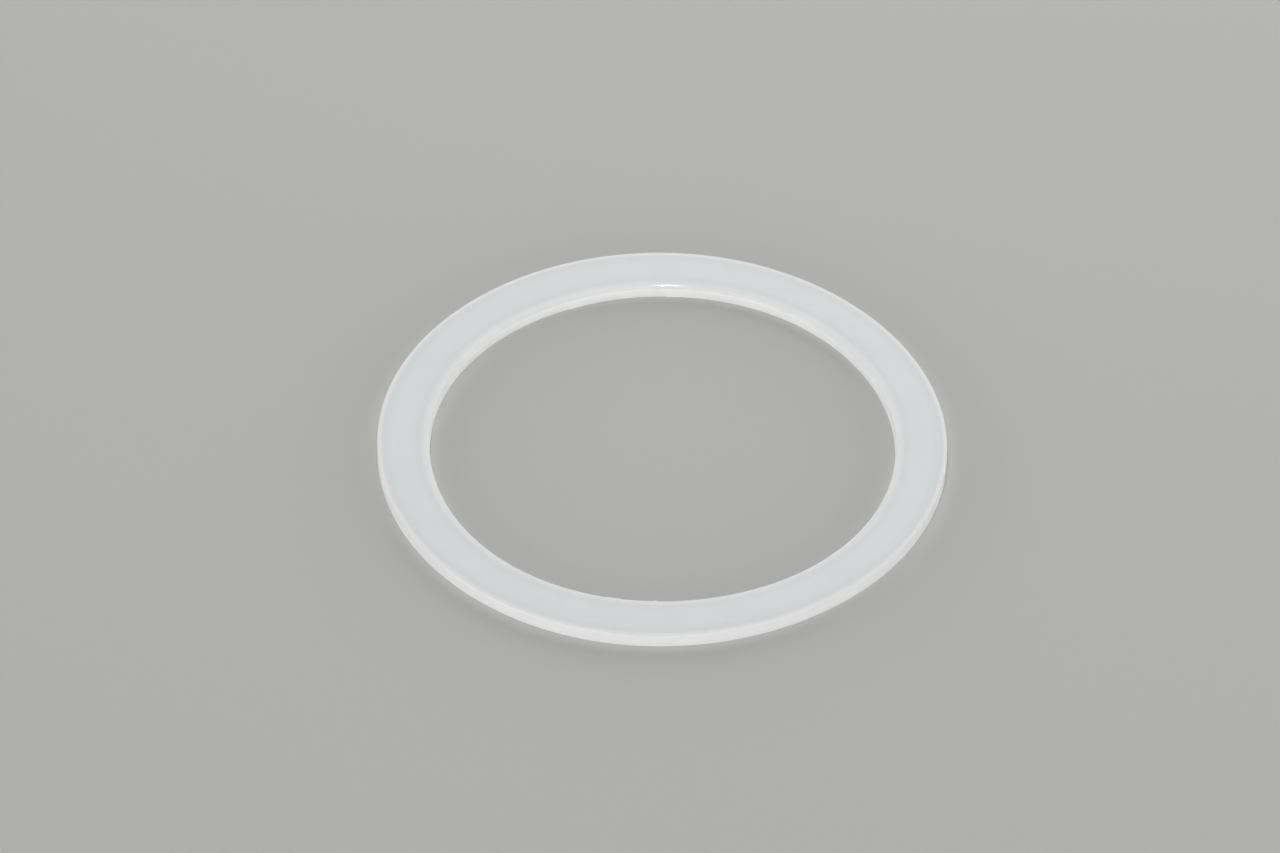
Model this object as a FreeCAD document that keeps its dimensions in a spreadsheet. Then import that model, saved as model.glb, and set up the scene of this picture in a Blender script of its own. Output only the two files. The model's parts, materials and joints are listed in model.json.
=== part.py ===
import FreeCAD, Part
import os
import Sketcher

# Flat ring gasket, cut in one piece from a soft milky sheet: two flat sealing
# faces, a straight outer wall, and a straight bore whose upper edge is rolled
# over by the cut.
# Own frame: +Z is the ring's axis and points up. The origin is the centre of
# the lower sealing face, on which the ring lies. Millimetres.

# Driving sizes
SIZES = [
    ("bore_diameter", 65.0),     # opening through the ring
    ("land_width", 7.0),         # bore wall to outer wall, measured along a radius
    ("sheet_thickness", 2.0),    # lower sealing face to upper sealing face
    ("bore_edge_radius", 0.7),   # roll-over where the cutter entered the bore
]

TOLERANCE = 1e-4


def fill_sheet(doc):
    """Write the driving sizes to the document's sheet, one alias for each."""
    sheet = doc.addObject("Spreadsheet::Sheet", "Sizes")
    for row, (alias, value) in enumerate(SIZES, start=1):
        sheet.set("A%d" % row, alias)
        sheet.set("B%d" % row, str(value))
        sheet.setAlias("B%d" % row, alias)
    doc.recompute()
    return sheet


def origin_plane(body, role):
    """Return the body's own datum plane that has this role."""
    for feature in body.Origin.OriginFeatures:
        if feature.Role == role:
            return feature
    raise RuntimeError("no plane " + role)


def add_circle(sketch, radius, name, diameter):
    """Add a circle about the sketch's centre, its diameter bound to an expression."""
    centre = FreeCAD.Vector(0, 0, 0)
    up = FreeCAD.Vector(0, 0, 1)
    index = sketch.addGeometry(Part.Circle(centre, up, radius), False)
    sketch.addConstraint(Sketcher.Constraint("Coincident", index, 3, -1, 1))
    rule = sketch.addConstraint(Sketcher.Constraint("Diameter", index, 2 * radius))
    sketch.renameConstraint(rule, name)
    sketch.setExpression("Constraints." + name, diameter)


def ring_outline(body, sheet):
    """Sketch the two circles between which the sheet is kept."""
    sketch = body.newObject("Sketcher::SketchObject", "RingOutline")
    sketch.AttachmentSupport = [(origin_plane(body, "XY_Plane"), "")]
    sketch.MapMode = "FlatFace"
    bore_radius = sheet.bore_diameter / 2
    add_circle(sketch, bore_radius, "bore", "Sizes.bore_diameter")
    outer_rule = "Sizes.bore_diameter + 2 * Sizes.land_width"
    add_circle(sketch, bore_radius + sheet.land_width, "outer", outer_rule)
    return sketch


def bore_upper_edge(pad, sheet):
    """Name the circular edge where the bore meets the upper sealing face."""
    for number, edge in enumerate(pad.Shape.Edges, start=1):
        if not isinstance(edge.Curve, Part.Circle):
            continue
        at_top = abs(edge.Curve.Center.z - sheet.sheet_thickness) < TOLERANCE
        at_bore = abs(edge.Curve.Radius - sheet.bore_diameter / 2) < TOLERANCE
        if at_top and at_bore:
            return "Edge%d" % number
    raise RuntimeError("the bore has no upper edge")


def make_gasket(doc, sheet):
    """Build the ring: the cut sheet, then the rolled-over edge of its bore."""
    body = doc.addObject("PartDesign::Body", "Gasket")
    body.Label = "gasket"
    outline = ring_outline(body, sheet)
    doc.recompute()

    ring = body.newObject("PartDesign::Pad", "CutSheet")
    ring.Profile = outline
    ring.setExpression("Length", "Sizes.sheet_thickness")
    doc.recompute()

    rolled = body.newObject("PartDesign::Fillet", "BoreEdge")
    rolled.Base = (ring, [bore_upper_edge(ring, sheet)])
    rolled.setExpression("Radius", "Sizes.bore_edge_radius")
    doc.recompute()

    body.Placement = FreeCAD.Placement()
    return body


def check(doc, bodies):
    """Stop if a feature failed or a solid isn't whole."""
    for item in doc.Objects:
        if "Invalid" in item.State or "Error" in item.State:
            raise RuntimeError(item.Label + " failed to build")
    for body in bodies:
        shape = body.Shape
        if shape.isNull() or not shape.isValid() or len(shape.Solids) != 1:
            raise RuntimeError(body.Label + " isn't one valid solid")


def write(bodies):
    """Write each solid to a file named for it."""
    os.makedirs("parts", exist_ok=True)
    for body in bodies:
        body.Shape.exportStep("parts/" + body.Label + ".step")
        print(body.Label, "volume", round(body.Shape.Volume, 3), "mm3")


document = FreeCAD.newDocument("FlatGasket")
sizes = fill_sheet(document)
solids = [make_gasket(document, sizes)]
document.recompute()
check(document, solids)
write(solids)
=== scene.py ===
import json
import math
import bpy
from mathutils import Matrix, Vector


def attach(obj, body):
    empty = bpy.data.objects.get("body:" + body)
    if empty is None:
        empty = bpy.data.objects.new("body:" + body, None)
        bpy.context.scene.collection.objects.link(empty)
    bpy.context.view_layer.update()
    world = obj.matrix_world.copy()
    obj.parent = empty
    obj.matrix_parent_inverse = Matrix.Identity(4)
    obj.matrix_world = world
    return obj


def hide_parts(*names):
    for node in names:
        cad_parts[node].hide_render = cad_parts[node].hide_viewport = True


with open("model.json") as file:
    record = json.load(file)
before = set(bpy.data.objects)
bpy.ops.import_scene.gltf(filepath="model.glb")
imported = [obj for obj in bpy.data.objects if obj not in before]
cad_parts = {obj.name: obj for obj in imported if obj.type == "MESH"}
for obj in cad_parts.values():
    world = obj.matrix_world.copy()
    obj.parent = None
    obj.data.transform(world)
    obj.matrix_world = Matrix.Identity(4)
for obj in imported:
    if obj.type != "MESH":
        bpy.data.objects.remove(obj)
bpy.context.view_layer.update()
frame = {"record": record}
print("frame loaded")

millimetre = 0.001

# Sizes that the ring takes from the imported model
mounts = {mount["name"]: mount for mount in frame["record"]["mounts"]}
boreRadius = mounts["bore"]["dims"]["r_mm"] * millimetre
outerRadius = mounts["outer_rim"]["dims"]["r_mm"] * millimetre
ringThickness = mounts["outer_rim"]["dims"]["length_mm"] * millimetre
boreEdgeRadius = ringThickness - mounts["bore"]["dims"]["length_mm"] * millimetre
land = outerRadius - boreRadius


def directionFrom(azimuth, elevation):
    # azimuth 0 looks from the front, and grows towards the right
    a = math.radians(azimuth)
    e = math.radians(elevation)
    return Vector((math.sin(a) * math.cos(e), -math.cos(a) * math.cos(e), math.sin(e)))


def addNode(tree, kind, settings=None, inputs=None):
    # an input is a number, a colour or another node's output
    node = tree.nodes.new(kind)
    for name, value in (settings or {}).items():
        setattr(node, name, value)
    for name, value in (inputs or {}).items():
        if isinstance(value, bpy.types.NodeSocket):
            tree.links.new(value, node.inputs[name])
        else:
            node.inputs[name].default_value = value
    return node


def addMath(tree, operation, *values):
    inputs = dict(enumerate(values))
    return addNode(tree, "ShaderNodeMath", {"operation": operation}, inputs).outputs["Value"]


def addInput(tree, name, kind, value=None):
    socket = tree.interface.new_socket(name, in_out="INPUT", socket_type="NodeSocket" + kind)
    if value is not None:
        socket.default_value = value
    return socket.identifier


gasket = {
    # How finely the ring is swept from its section
    "stepsAround": 1440,
    "stepsOnFace": 14,
    "stepsOnWall": 6,
    "stepsPerCorner": 6,
    "cutEdgeRadius": 0.04 * millimetre,      # the three edges that the cutter left sharp
    "normalWeight": 100,                     # at 100 the large faces decide how a point is shaded

    # Lobes of a soft ring that lies a little out of round: how many, how high, and where they
    # point, in degrees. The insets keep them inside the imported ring.
    "outerInset": 0.17 * millimetre,
    "outerLobes": [
        (3, 0.10 * millimetre, -8),
        (4, 0.08 * millimetre, -12),
    ],
    "boreInset": 0.27 * millimetre,
    "boreLobes": [
        (1, 0.15 * millimetre, 30),
        (2, 0.05 * millimetre, 43),
        (3, 0.07 * millimetre, -23),
        (4, 0.09 * millimetre, -33),
    ],

    # Marks of the cutting. Each has its place in degrees, and stands out into the bore by its height.
    "markReach": 0.45 * millimetre,          # how far over the wall or the face a mark is felt
    # Nicks and nibs in the bore's upper edge: place, width, height
    "nicks": [
        (253.6, 0.60 * millimetre, -0.07 * millimetre),
        (255.0, 0.60 * millimetre, 0.08 * millimetre),
        (256.1, 0.50 * millimetre, -0.10 * millimetre),
        (257.7, 0.85 * millimetre, 0.20 * millimetre),
        (259.1, 0.70 * millimetre, 0.15 * millimetre),
        (260.3, 0.70 * millimetre, 0.13 * millimetre),
        (261.0, 0.30 * millimetre, -0.18 * millimetre),
        (269.0, 0.26 * millimetre, 0.34 * millimetre),
    ],
    # Burrs on the bore's lower edge, which start at once and fade out: place, length, height
    "burrs": [
        (114.0, -2.5 * millimetre, 0.13 * millimetre),
        (89.5, -4.0 * millimetre, 0.16 * millimetre),
    ],
    # Where the cut began and ended, one side of the bore stands out a little, over the whole wall
    "cutStart": (269.0, -6.0 * millimetre, 0.06 * millimetre),

    # The rubber is milky and a little cool. Its cut walls scatter more, and look whiter, and they are
    # painted lighter still, as painted light for the light they catch, the bore's wall most. The
    # rounded edges are painted darker, painted shade against the extra light that they catch. On the
    # face a painted pale rim beside each wall stands in for light that leaves by the wall, and a
    # painted darker band, painted shade, lies inside it.
    "faceColour": (0.650, 0.664, 0.670),
    # the walls are whiter from their scattering, and painted lighter still as painted light
    "boreWallColour": (0.785, 0.786, 0.776),
    "outerWallColour": (0.735, 0.738, 0.734),
    # painted shade on the rounded edges, against the extra light that they catch
    "roundedPaintedShade": (0.626, 0.635, 0.632),
    # painted light: the pale rim beside the bore's wall
    "boreRimPaintedLight": (0.672, 0.682, 0.681),
    # painted shade: the darker band inside the bore's rim
    "boreBandPaintedShade": (0.627, 0.643, 0.650),
    # painted light: the pale rim beside the outer wall
    "outerRimPaintedLight": (0.688, 0.694, 0.687),
    # painted shade: the darker band inside the outer rim
    "outerBandPaintedShade": (0.622, 0.638, 0.643),
    # How far the bore's colours lie from the bore's wall
    "roundedFrom": 0.05 * millimetre,
    "roundedTo": 0.25 * millimetre,
    "boreRimFrom": 0.62 * millimetre,
    "boreRimTo": 0.80 * millimetre,
    "boreBandCentre": 1.40 * millimetre,
    "boreBandEnd": 2.6 * millimetre,
    # How far the outer colours lie from the outer wall
    "outerRimTo": 0.32 * millimetre,
    "outerBandCentre": 0.78 * millimetre,
    "outerBandEnd": 2.2 * millimetre,

    # Faint clouds, which make the face a little lighter or darker
    "cloudSize": 5.0 * millimetre,
    "cloudDetail": 3.0,
    "cloudFineness": 0.55,                   # how strongly the smaller clouds show in the larger ones
    "cloudDarkest": 0.25,                    # the noise's value in the darkest cloud
    "cloudLightest": 0.75,
    "cloudDepth": 0.015,

    # Light carried under the surface, to the same depth for red, green and blue
    "glowShare": 0.1,
    "glowDepth": 4.0 * millimetre,
    "glowByColour": (1.0, 1.0, 1.0),
    "refractiveIndex": 1.41,

    # Smooth faces with a fine grain, and walls that the knife left matt
    "faceRoughness": 0.12,
    "faceRoughnessSpread": 0.04,             # it varies by this much with the clouds
    "wallRoughness": 0.60,
    "grainSize": 0.25 * millimetre,
    "grainDetail": 2.0,
    "grainFineness": 0.6,
    "grainHeight": 0.0006 * millimetre,
    "knifeLineLength": 4.0 * millimetre,
    "knifeLineDetail": 3.0,
    "knifeLineFineness": 0.5,
    "knifeLineStretch": 14,                  # how many times as long as wide the knife's lines are
    "knifeLineHeight": 0.0015 * millimetre,

    # One short scratch on the upper face, from one x and y to another
    "scratchFrom": (-12.8 * millimetre, -33.7 * millimetre),
    "scratchTo": (-9.6 * millimetre, -33.72 * millimetre),
    "scratchWidth": 0.14 * millimetre,
    "scratchRise": 0.6,                      # share of its length over which it appears
    "scratchAbove": 0.98,                    # share of the thickness above which it shows
    "scratchColour": (0.775, 0.765, 0.715),
}


def ringTree():
    tree = bpy.data.node_groups.new("ringFromSection", "GeometryNodeTree")
    tree.interface.new_socket("Geometry", in_out="OUTPUT", socket_type="NodeSocketGeometry")
    addInput(tree, "Bore Radius", "Float", boreRadius)
    addInput(tree, "Outer Radius", "Float", outerRadius)
    addInput(tree, "Thickness", "Float", ringThickness)
    addInput(tree, "Bore Edge Radius", "Float", boreEdgeRadius)
    addInput(tree, "Cut Edge Radius", "Float", gasket["cutEdgeRadius"])
    addInput(tree, "Steps Around", "Int", gasket["stepsAround"])
    addInput(tree, "Steps On Face", "Int", gasket["stepsOnFace"])
    addInput(tree, "Steps On Wall", "Int", gasket["stepsOnWall"])
    addInput(tree, "Steps Per Corner", "Int", gasket["stepsPerCorner"])
    materialInput = addInput(tree, "Material", "Material")
    given = addNode(tree, "NodeGroupInput").outputs

    width = addMath(tree, "SUBTRACT", given["Outer Radius"], given["Bore Radius"])
    middle = addMath(tree, "MULTIPLY_ADD", width, 0.5, given["Bore Radius"])
    section = addNode(tree, "GeometryNodeCurvePrimitiveQuadrilateral", {"mode": "RECTANGLE"},
                      {"Width": width, "Height": given["Thickness"]})

    # The section's four corners are rounded, and the one that comes to lie at the bore's top most
    boreTopCorner = 2
    almostEqual = 0.01
    corner = addNode(tree, "GeometryNodeInputIndex").outputs["Index"]
    isBoreTop = addMath(tree, "COMPARE", corner, boreTopCorner, almostEqual)
    extra = addMath(tree, "SUBTRACT", given["Bore Edge Radius"], given["Cut Edge Radius"])
    rounding = addMath(tree, "MULTIPLY_ADD", isBoreTop, extra, given["Cut Edge Radius"])
    rounded = addNode(tree, "GeometryNodeFilletCurve", {"mode": "POLY"},
                      {"Curve": section.outputs["Curve"], "Count": given["Steps Per Corner"],
                       "Radius": rounding})

    # Each corner is now an arc, and the run after its last point is a side: face, wall, face, wall
    index = addNode(tree, "GeometryNodeInputIndex").outputs["Index"]
    arcPoints = addMath(tree, "ADD", given["Steps Per Corner"], 1)
    alongArc = addMath(tree, "MODULO", index, arcPoints)
    startsSide = addMath(tree, "COMPARE", alongArc, given["Steps Per Corner"], almostEqual)
    sideNumber = addMath(tree, "FLOOR", addMath(tree, "DIVIDE", index, arcPoints))
    isWall = addMath(tree, "MODULO", sideNumber, 2)
    wallExtra = addMath(tree, "SUBTRACT", given["Steps On Wall"], given["Steps On Face"])
    stepsOnSide = addMath(tree, "MULTIPLY_ADD", isWall, wallExtra, given["Steps On Face"])
    cuts = addMath(tree, "MULTIPLY", startsSide, stepsOnSide)
    divided = addNode(tree, "GeometryNodeSubdivideCurve", None,
                      {"Curve": rounded.outputs["Curve"], "Cuts": cuts})

    path = addNode(tree, "GeometryNodeCurvePrimitiveCircle", {"mode": "RADIUS"},
                   {"Resolution": given["Steps Around"], "Radius": middle})
    swept = addNode(tree, "GeometryNodeCurveToMesh", None,
                    {"Curve": path.outputs["Curve"], "Profile Curve": divided.outputs["Curve"]})
    halfThickness = addMath(tree, "MULTIPLY", given["Thickness"], 0.5)
    lift = addNode(tree, "ShaderNodeCombineXYZ", None, {"Z": halfThickness})
    raised = addNode(tree, "GeometryNodeSetPosition", None,
                     {"Geometry": swept.outputs["Mesh"], "Offset": lift.outputs["Vector"]})
    real = addNode(tree, "GeometryNodeRealizeInstances", None, {"Geometry": raised.outputs["Geometry"]})
    coloured = addNode(tree, "GeometryNodeSetMaterial", None,
                       {"Geometry": real.outputs["Geometry"], "Material": given["Material"]})
    addNode(tree, "NodeGroupOutput", None, {"Geometry": coloured.outputs["Geometry"]})
    return tree, materialInput


def sweptRing(name, material):
    tree, materialInput = ringTree()
    maker = bpy.data.objects.new(name + "Maker", bpy.data.meshes.new(name + "Maker"))
    bpy.context.scene.collection.objects.link(maker)
    nodes = maker.modifiers.new("ring", "NODES")
    nodes.node_group = tree
    nodes[materialInput] = material
    graph = bpy.context.evaluated_depsgraph_get()
    mesh = bpy.data.meshes.new_from_object(maker.evaluated_get(graph), depsgraph=graph)
    mesh.name = name
    bpy.data.objects.remove(maker)
    ring = bpy.data.objects.new(name, mesh)
    bpy.context.scene.collection.objects.link(ring)
    return ring


def lobeHeight(lobes, angle):
    return sum(height * math.cos(count * (angle - math.radians(points)))
               for count, height, points in lobes)


def alongBore(angle, place):
    return math.remainder(angle - math.radians(place), math.tau) * boreRadius


def bumpAt(angle, mark):
    # about a third of the height is left at half the width from its place
    place, width, height = mark
    return height * math.exp(-(2 * alongBore(angle, place) / width) ** 2)


def stepAt(angle, mark):
    # about a seventh of the height is left at the length, and a length below zero fades towards
    # smaller angles
    place, length, height = mark
    share = alongBore(angle, place) / length
    return height * math.exp(-2 * share) if share > 0 else 0.0


def markHeight(angle, fromBore, z):
    nearFace = math.exp(-(fromBore / gasket["markReach"]) ** 2)
    nearTop = math.exp(-((ringThickness - z) / gasket["markReach"]) ** 2)
    nearBottom = math.exp(-(z / gasket["markReach"]) ** 2)
    nicks = sum(bumpAt(angle, nick) for nick in gasket["nicks"])
    burrs = sum(stepAt(angle, burr) for burr in gasket["burrs"])
    return nearFace * (nearTop * nicks + nearBottom * burrs + stepAt(angle, gasket["cutStart"]))


def shapeRing(ring):
    # Each point moves along its radius: the outside by its lobes, the bore by its own lobes and
    # marks, and what lies between by its share of both
    distance = ring.data.attributes.new("fromBore", "FLOAT", "POINT")
    for vertex in ring.data.vertices:
        x, y, z = vertex.co
        radius = math.hypot(x, y)
        angle = math.atan2(y, x)
        fromBore = radius - boreRadius
        distance.data[vertex.index].value = fromBore
        outward = fromBore / land
        atOuter = lobeHeight(gasket["outerLobes"], angle) - gasket["outerInset"]
        atBore = lobeHeight(gasket["boreLobes"], angle) - gasket["boreInset"]
        move = outward * atOuter + (1 - outward) * atBore - markHeight(angle, fromBore, z)
        vertex.co.x += move * x / radius
        vertex.co.y += move * y / radius


def addNoise(tree, place, size, detail, fineness):
    return addNode(tree, "ShaderNodeTexNoise", None, {
        "Vector": place, "Scale": 1 / size, "Detail": detail, "Roughness": fineness}).outputs["Fac"]


def addRange(tree, value, fromRange, toRange, kind="LINEAR"):
    # turns one range of numbers into another
    return addNode(tree, "ShaderNodeMapRange", {"interpolation_type": kind}, {
        "Value": value, "From Min": fromRange[0], "From Max": fromRange[1],
        "To Min": toRange[0], "To Max": toRange[1]}).outputs["Result"]


def addVectorMath(tree, operation, inputs):
    return addNode(tree, "ShaderNodeVectorMath", {"operation": operation}, inputs).outputs


def acrossLand(tree, fromBore):
    # colour from the bore's wall to the outer wall: the rounded edge's painted shade, painted pale
    # rim, painted darker band, plain face, band, rim, and the outer edge's painted shade
    edge = gasket["cutEdgeRadius"]
    stops = [
        (0.0, "boreWallColour"),
        (gasket["roundedFrom"], "roundedPaintedShade"),
        (gasket["roundedTo"], "roundedPaintedShade"),
        (gasket["boreRimFrom"], "boreRimPaintedLight"),
        (gasket["boreRimTo"], "boreRimPaintedLight"),
        (gasket["boreBandCentre"], "boreBandPaintedShade"),
        (gasket["boreBandEnd"], "faceColour"),
        (land - gasket["outerBandEnd"], "faceColour"),
        (land - gasket["outerBandCentre"], "outerBandPaintedShade"),
        (land - gasket["outerRimTo"], "outerRimPaintedLight"),
        (land - 2 * edge, "outerRimPaintedLight"),
        (land - edge, "roundedPaintedShade"),
        (land, "outerWallColour"),
    ]
    share = addMath(tree, "DIVIDE", fromBore, land)
    ramp = addNode(tree, "ShaderNodeValToRGB", None, {"Fac": share})
    ramp.color_ramp.interpolation = "EASE"
    elements = ramp.color_ramp.elements
    for place, _ in stops[1:-1]:
        elements.new(place / land)
    for element, (place, colour) in zip(elements, stops):
        element.position = place / land
        element.color = (*gasket[colour], 1)
    return ramp.outputs["Color"]


def scratchShare(tree, place):
    # 1 on the scratch's line, and 0 away from it
    start = Vector(gasket["scratchFrom"])
    line = Vector(gasket["scratchTo"]) - start
    along = line.normalized()
    sideways = (-along.y, along.x, 0)
    offset = addVectorMath(tree, "SUBTRACT", {0: place, 1: (*start, 0)})["Vector"]
    run = addVectorMath(tree, "DOT_PRODUCT", {0: offset, 1: (*along, 0)})["Value"]
    aside = addVectorMath(tree, "DOT_PRODUCT", {0: offset, 1: sideways})["Value"]
    across = addRange(tree, addMath(tree, "ABSOLUTE", aside), (gasket["scratchWidth"] / 2, 0.0),
                      (0.0, 1.0), "SMOOTHSTEP")
    # it is faint where it starts, and ends at once
    rise = addRange(tree, run, (0.0, line.length * gasket["scratchRise"]), (0.0, 1.0), "SMOOTHSTEP")
    stop = addMath(tree, "LESS_THAN", run, line.length)
    height = addNode(tree, "ShaderNodeSeparateXYZ", None, {"Vector": place}).outputs["Z"]
    isTop = addMath(tree, "GREATER_THAN", height, ringThickness * gasket["scratchAbove"])
    streak = addMath(tree, "MULTIPLY", across, rise)
    return addMath(tree, "MULTIPLY", streak, addMath(tree, "MULTIPLY", stop, isTop))


def rubberMaterial():
    material = bpy.data.materials.new("milkyRubber")
    material.use_nodes = True
    tree = material.node_tree
    shader = tree.nodes["Principled BSDF"]
    place = addNode(tree, "ShaderNodeTexCoord").outputs["Object"]
    fromBore = addNode(tree, "ShaderNodeAttribute", {"attribute_name": "fromBore"}).outputs["Fac"]
    fromOuter = addMath(tree, "SUBTRACT", land, fromBore)
    fromEdge = addMath(tree, "MINIMUM", fromBore, fromOuter)
    isWall = addMath(tree, "LESS_THAN", fromEdge, gasket["cutEdgeRadius"] / 2)

    # The colour across the land, with its painted light and shade, faint clouds and the scratch
    clouds = addNoise(tree, place, gasket["cloudSize"], gasket["cloudDetail"], gasket["cloudFineness"])
    brightness = addRange(tree, clouds, (gasket["cloudDarkest"], gasket["cloudLightest"]),
                          (1 - gasket["cloudDepth"], 1 + gasket["cloudDepth"]))
    landColour = acrossLand(tree, fromBore)
    clouded = addVectorMath(tree, "SCALE", {0: landColour, "Scale": brightness})["Vector"]
    colour = addNode(tree, "ShaderNodeMix", {"data_type": "RGBA"}, {
        "Factor": scratchShare(tree, place), "A": clouded, "B": (*gasket["scratchColour"], 1)})
    tree.links.new(colour.outputs["Result"], shader.inputs["Base Color"])

    # Smooth faces and matt walls
    smoothest = gasket["faceRoughness"] - gasket["faceRoughnessSpread"] / 2
    roughFace = addMath(tree, "MULTIPLY_ADD", clouds, gasket["faceRoughnessSpread"], smoothest)
    roughness = addNode(tree, "ShaderNodeMix", None, {
        "Factor": isWall, "A": roughFace, "B": gasket["wallRoughness"]})
    tree.links.new(roughness.outputs["Result"], shader.inputs["Roughness"])

    # A fine grain all over, and the knife's lines round the walls
    grain = addNoise(tree, place, gasket["grainSize"], gasket["grainDetail"], gasket["grainFineness"])
    squeezed = addNode(tree, "ShaderNodeMapping", None, {
        "Vector": place, "Scale": (1, 1, gasket["knifeLineStretch"])}).outputs["Vector"]
    lines = addNoise(tree, squeezed, gasket["knifeLineLength"], gasket["knifeLineDetail"],
                     gasket["knifeLineFineness"])
    lineHeight = addMath(tree, "MULTIPLY", lines, gasket["knifeLineHeight"])
    wallHeight = addMath(tree, "MULTIPLY", lineHeight, isWall)
    height = addMath(tree, "MULTIPLY_ADD", grain, gasket["grainHeight"], wallHeight)
    bump = addNode(tree, "ShaderNodeBump", None, {"Height": height, "Distance": 1.0, "Strength": 1.0})
    tree.links.new(bump.outputs["Normal"], shader.inputs["Normal"])

    shader.inputs["IOR"].default_value = gasket["refractiveIndex"]
    shader.inputs["Subsurface Weight"].default_value = gasket["glowShare"]
    shader.inputs["Subsurface Radius"].default_value = gasket["glowByColour"]
    shader.inputs["Subsurface Scale"].default_value = gasket["glowDepth"]
    return material


def makeGasket():
    ring = sweptRing("gasketRing", rubberMaterial())
    shapeRing(ring)
    for face in ring.data.polygons:
        face.use_smooth = True
    smoother = ring.modifiers.new("evenNormals", "WEIGHTED_NORMAL")
    smoother.weight = gasket["normalWeight"]
    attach(ring, "root")
    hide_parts("gasket")
    print("gasket", len(ring.data.vertices), "points")


studio = {
    "floorColour": (0.43, 0.43, 0.425),
    "floorRoughness": 0.8,
    "floorSpecular": 0.2,
    "floorSize": 6.0,
    "floorGap": 0.02 * millimetre,
    # The dome is brightest at the horizon, so that walls get as much light as faces
    "domeHorizon": 4.1,
    "domeTop": 0.0,
    "domeTopFrom": 0.5,       # share of the dome's height from which on it has the top's strength
    "seenDome": 0.6,          # its even strength in reflections, and behind the floor
    # azimuth and elevation in degrees, distance, width and height in metres, power in watts
    "keyLight": (-10, 72, 3.4, 1.2, 1.2, 66.0),
    "fillLight": (165, 35, 0.6, 0.3, 0.3, 0.9),
    "glintLight": (-1.25, 68.4, 3.4, 0.15, 1.2, 46.0),
}


def makeFloor():
    material = bpy.data.materials.new("paleFloor")
    material.use_nodes = True
    shader = material.node_tree.nodes["Principled BSDF"]
    shader.inputs["Base Color"].default_value = (*studio["floorColour"], 1)
    shader.inputs["Roughness"].default_value = studio["floorRoughness"]
    shader.inputs["Specular IOR Level"].default_value = studio["floorSpecular"]

    half = studio["floorSize"] / 2
    z = -studio["floorGap"]
    corners = [(-half, -half, z), (half, -half, z), (half, half, z), (-half, half, z)]
    mesh = bpy.data.meshes.new("floor")
    mesh.from_pydata(corners, [], [(0, 1, 2, 3)])
    mesh.materials.append(material)
    floor = bpy.data.objects.new("floor", mesh)
    bpy.context.scene.collection.objects.link(floor)
    print("floor laid")


def addLamp(name, azimuth, elevation, distance, width, height, power):
    light = bpy.data.lights.new(name, "AREA")
    light.shape = "ELLIPSE"
    light.size = width
    light.size_y = height
    light.energy = power
    lamp = bpy.data.objects.new(name, light)
    lamp.location = directionFrom(azimuth, elevation) * distance
    lamp.rotation_euler = lamp.location.to_track_quat("Z", "Y").to_euler()
    bpy.context.scene.collection.objects.link(lamp)
    return lamp


def makeLights():
    world = bpy.data.worlds.new("dome")
    world.use_nodes = True
    tree = world.node_tree
    background = tree.nodes["Background"]
    direction = addNode(tree, "ShaderNodeTexCoord").outputs["Generated"]
    height = addNode(tree, "ShaderNodeSeparateXYZ", None, {"Vector": direction}).outputs["Z"]
    gradient = addRange(tree, height, (0.0, studio["domeTopFrom"]),
                        (studio["domeHorizon"], studio["domeTop"]))
    rays = addNode(tree, "ShaderNodeLightPath").outputs
    isSeen = addMath(tree, "MAXIMUM", rays["Is Camera Ray"], rays["Is Glossy Ray"])
    strength = addNode(tree, "ShaderNodeMix", None, {
        "Factor": isSeen, "A": gradient, "B": studio["seenDome"]})
    background.inputs["Color"].default_value = (1, 1, 1, 1)
    tree.links.new(strength.outputs["Result"], background.inputs["Strength"])
    bpy.context.scene.world = world
    # Two soft lamps add to the dome's light, and the third only gives a glint on the bore's
    # rounded edge
    addLamp("keyLight", *studio["keyLight"]).visible_glossy = False
    addLamp("fillLight", *studio["fillLight"]).visible_glossy = False
    addLamp("glintLight", *studio["glintLight"]).visible_diffuse = False
    print("lights set")


photoView = {
    "width": 1280,            # pixels
    "height": 853,
    "ringCentre": (661.4, 451.7),
    "focalPixels": 11500,
    "elevation": 42.3,        # degrees above the floor
    "roll": 0.6,              # degrees
    "distance": 1.5907,       # metres
    "nearest": 0.01,          # what is closer than this isn't drawn
    "sensorWidth": 36,        # millimetres
}


def makeCamera():
    # stands at the photograph's angle, with the ring's centre where the photograph has it
    back = directionFrom(0, photoView["elevation"])
    right = Vector((0, 0, 1)).cross(back).normalized()
    up = back.cross(right)
    roll = math.radians(photoView["roll"])
    rolledRight = right * math.cos(roll) + up * math.sin(roll)
    rolledUp = up * math.cos(roll) - right * math.sin(roll)
    place = back * photoView["distance"]
    perPixel = photoView["distance"] / photoView["focalPixels"]
    aside = photoView["ringCentre"][0] - photoView["width"] / 2
    below = photoView["ringCentre"][1] - photoView["height"] / 2
    target = rolledUp * (below * perPixel) - rolledRight * (aside * perPixel)
    axisZ = (place - target).normalized()
    axisX = rolledUp.cross(axisZ).normalized()
    axisY = axisZ.cross(axisX)
    turn = Matrix((axisX, axisY, axisZ)).transposed().to_4x4()
    camera = bpy.data.objects.new("camera", bpy.data.cameras.new("camera"))
    camera.data.sensor_width = photoView["sensorWidth"]
    camera.data.lens = photoView["focalPixels"] * photoView["sensorWidth"] / photoView["width"]
    camera.data.clip_start = photoView["nearest"]
    camera.matrix_world = Matrix.Translation(place) @ turn
    bpy.context.scene.collection.objects.link(camera)
    bpy.context.scene.camera = camera
    print("camera placed")


makeCamera()
makeLights()
makeFloor()
makeGasket()
bpy.context.scene.view_settings.view_transform = "Standard"
